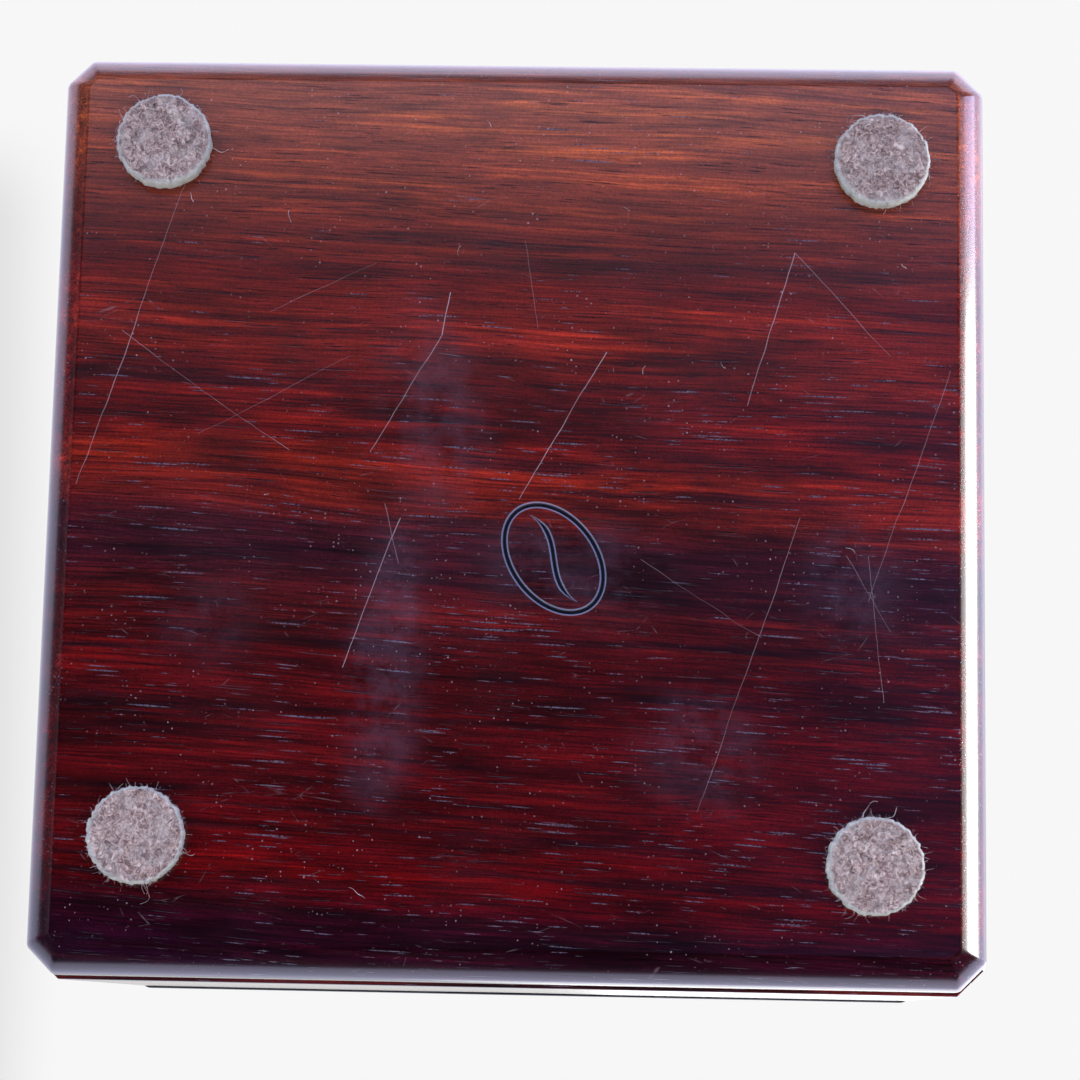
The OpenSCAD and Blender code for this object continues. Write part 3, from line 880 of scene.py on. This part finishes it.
black_steel = brushed_steel("black oxide steel, set screws", "#26272A", (2, 2, 0.1), 0.36)


# ---------------------------------------------------------------- the pieces of the case

panel = new_piece("base_panel_planed", panel_mesh(), panel_wood, "case", ("base_panel",))
oval, wave = bean_paths()
carve(panel, [groove_cutter(oval, True, "oval_knife"), groove_cutter(wave, False, "wave_knife")])

for side, wood in (("front", long_wood), ("back", long_wood), ("left", cross_wood), ("right", cross_wood)):
    softened(side + "_wall", wood, "case", 0.35 * MM)

for corner in ("front_left", "front_right", "back_left", "back_right"):
    dress("corner_keys_" + corner, key_wood)
dress("base_dowels", dowel_wood)
dress("damping_mat", mat_rubber)

for seed, place in enumerate(("back_right", "back_left", "front_right", "front_left"), 1):
    low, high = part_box("felt_pad_" + place)
    centre = Vector(((low.x + high.x) / 2, (low.y + high.y) / 2, 0))
    radius = (high.x - low.x) / 2
    pad = new_piece("felt_pad_" + place + "_pressed",
                    felt_mesh("felt_" + place, centre, radius, high.z - low.z, seed),
                    felt, "case", ("felt_pad_" + place,))
    loose = fibre_mesh("fibres_" + place, centre, radius, seed)
    new_piece("felt_fibres_" + place, loose, fibre, "case")
new_piece("lint_on_underside", lint_mesh(), fibre, "case")

for side in ("left", "right"):
    softened("saddle_" + side, plate_steel, "case", 0.2 * MM)
softened("saddle_screws", screw_steel, "case", 0.12 * MM, segments=2)


# ---------------------------------------------------------------- bin and bar

softened("bin", bin_plastic, "bin", 0.55 * MM)

# the hole that the lathe's centre leaves, and the bore of the moulded sleeve
CENTRE_HOLE_RADIUS = 0.5 * MM
SLEEVE_BORE_RADIUS = 7.23 * MM

rod_radius = (ROD_HIGH.z - ROD_LOW.z) / 2
rod_outline = rounded_ring(ROD_LOW.x, ROD_HIGH.x, CENTRE_HOLE_RADIUS, rod_radius, 0.8 * MM)
rod = new_piece("bar_rod_turned", turned_mesh("rod", rod_outline), rod_steel, "knock_bar",
                ("bar_rod",))
settle(rod)
for side in ("left", "right"):
    softened("collar_" + side, rod_steel, "knock_bar", 0.3 * MM)
    softened("bush_" + side, nylon, "sleeve", 0.15 * MM)
softened("collar_set_screws", black_steel, "knock_bar", 0.08 * MM, segments=2)
dress("sleeve_core", rod_steel)

sleeve_radius = (SLEEVE_HIGH.z - SLEEVE_LOW.z) / 2
sleeve_outline = rounded_ring(SLEEVE_LOW.x, SLEEVE_HIGH.x, SLEEVE_BORE_RADIUS, sleeve_radius, 1.4 * MM)
sleeve = new_piece("rubber_sleeve_moulded", turned_mesh("sleeve", sleeve_outline), sleeve_rubber,
                   "sleeve", ("rubber_sleeve",))
settle(sleeve)


# ---------------------------------------------------------------- floor and light

# Metres: the floor's side, the rays too short to see it, and where, along Y, mirrored rays begin to miss it
FLOOR_SIZE = 6.0
FLOOR_SHORT_RAY = 12 * MM
FLOOR_FRONT_FADE = (-0.064, -0.070)


def pale_floor():
    """A pale matt floor that the box stands on. It shows from above only, so that the underside can be seen.
    Short rays pass through it, which lets light get to the underside. So do mirrored rays that come down in
    front of the box, which keeps the floor out of the chamfer's polish."""
    material = bpy.data.materials.new("pale floor")
    material.use_nodes = True
    tree = material.node_tree
    tree.nodes.clear()
    side = add(tree, "NewGeometry")
    ray = add(tree, "LightPath")
    close = maths(tree, "LESS_THAN", ray.outputs["Ray Length"], FLOOR_SHORT_RAY)
    either = maths(tree, "MAXIMUM", side.outputs["Backfacing"], close)
    spot = add(tree, "SeparateXYZ", {0: side.outputs["Position"]})
    ahead = remap(tree, spot.outputs["Y"], FLOOR_FRONT_FADE)
    mirrored = maths(tree, "MULTIPLY", ahead, ray.outputs["Is Glossy Ray"])
    through = maths(tree, "MAXIMUM", either, mirrored)
    # mirrored, it is a greyer card, so that the polish of the walls stays clear
    card = mix(tree, ray.outputs["Is Glossy Ray"], srgb("#E9E7E4"), srgb("#8A888B"))
    matt = add(tree, "BsdfDiffuse", {"Color": card})
    clear = add(tree, "BsdfTransparent")
    shown = add(tree, "MixShader", {0: through, 1: matt, 2: clear})
    finish_material(tree, shown)
    reach = FLOOR_SIZE / 2
    corners = [(-reach, -reach, 0), (reach, -reach, 0), (reach, reach, 0), (-reach, reach, 0)]
    mesh = bpy.data.meshes.new("floor")
    mesh.from_pydata(corners, [], [(0, 1, 2, 3)])
    mesh.materials.append(material)
    floor = put("floor", mesh)


def soft_light(name, place, target, size, watts, colour="#FFFFFF", mirrored=True):
    """An oblong lamp that looks at target. mirrored says whether it shows in polished surfaces."""
    lamp = bpy.data.lights.new(name, "AREA")
    lamp.shape = "RECTANGLE"
    lamp.size, lamp.size_y = size
    lamp.energy = watts
    lamp.color = srgb(colour)[:3]
    light = put(name, lamp)
    light.visible_glossy = mirrored
    aim(light, place, target)


def studio_world():
    """A pale studio: almost white overhead, dim around the sides, and with a bright wall low behind the box,
    whose soft reflection gives the polish of the underside its milky look towards the back."""
    world = bpy.data.worlds.new("studio")
    bpy.context.scene.world = world
    world.use_nodes = True
    tree = world.node_tree
    tree.nodes.clear()
    way = add(tree, "TexCoord").outputs["Generated"]
    parts = add(tree, "SeparateXYZ", {0: way})
    x, y, z = parts.outputs["X"], parts.outputs["Y"], parts.outputs["Z"]

    def ramp(value, start, end, top=1.0):
        """Rises smoothly from 0 at start to top at end, which may lie on either side of start."""
        return remap(tree, value, (start, end), (0, top), interpolation_type="SMOOTHSTEP")

    def glow(colour, *levels):
        """Light of one colour, as strong as the product of its levels."""
        total = levels[0]
        for level in levels[1:]:
            total = maths(tree, "MULTIPLY", total, level)
        return add(tree, "Background", {"Color": srgb(colour), "Strength": total})

    above = ramp(z, 0.80, 0.92)
    below = ramp(z, 0.0, -0.2)
    sideways = remap(tree, x, (0.6, -0.6), (1.4, 2.6))
    behind = maths(tree, "MAXIMUM", y, 0)
    ring = maths(tree, "MULTIPLY_ADD", behind, 0.6, sideways)
    # a pale backdrop all round the box, a little darker at one side of the view from below
    shade = maths(tree, "MULTIPLY", ramp(x, 0.185, 0.225), ramp(y, 0.30, 0.26))
    shaded = maths(tree, "MULTIPLY", shade, above)
    # the bright wall is mirrored over a narrow stretch only, which keeps a bright line off the chamfer
    path = add(tree, "LightPath")
    aside = ramp(maths(tree, "ABSOLUTE", x), 0.35, 0.5)
    past = maths(tree, "MAXIMUM", aside, ramp(y, 0.45, 0.6))
    dropped = maths(tree, "MULTIPLY", past, path.outputs["Is Glossy Ray"])
    kept = maths(tree, "SUBTRACT", 1, dropped)
    backdrop = glow("#F7F7F7", remap(tree, shaded, end=(1.0, 0.76)))
    lights = [
        glow("#F7F7F7", above),
        glow("#D2D3F4", ramp(z, 0.17, 0.27), ramp(above, 1, 0), ring),
        glow("#D9DDFF", ramp(y, 0.265, 0.34, 1.82), below, kept),
        glow("#8992F4", ramp(x, 0.03, -0.30, 0.6), ramp(y, -0.25, -0.05), below, kept),
        glow("#1C1C24", ramp(z, 0.2, 0.1)),
    ]
    total = lights[0]
    for light in lights[1:]:
        total = add(tree, "AddShader", {0: total, 1: light})
    shown = add(tree, "MixShader", {0: path.outputs["Is Camera Ray"], 1: total, 2: backdrop})
    add(tree, "OutputWorld", {"Surface": shown})


pale_floor()
studio_world()
soft_light("window", (-0.74, 0.03, 0.11), (0, 0, 0), (0.34, 0.26), 7, "#FFFDFA")
soft_light("window side", (-0.70, 0.27, 0.11), (0, 0, 0), (0.13, 0.26), 0.7, "#C9C8FF")
soft_light("fill", (0.5, -0.45, -0.5), (0, 0, 0), (0.5, 0.5), 3.4, "#F4F5FF", mirrored=False)
soft_light("low", (-0.35, -0.55, -0.45), (0, 0, 0), (0.5, 0.5), 3.4, "#FFF8F2", mirrored=False)
soft_light("overhead", (-0.25, -0.35, 0.75), (0, 0, 0.05), (0.6, 0.6), 1.5)
bpy.context.scene.view_settings.view_transform = "Standard"
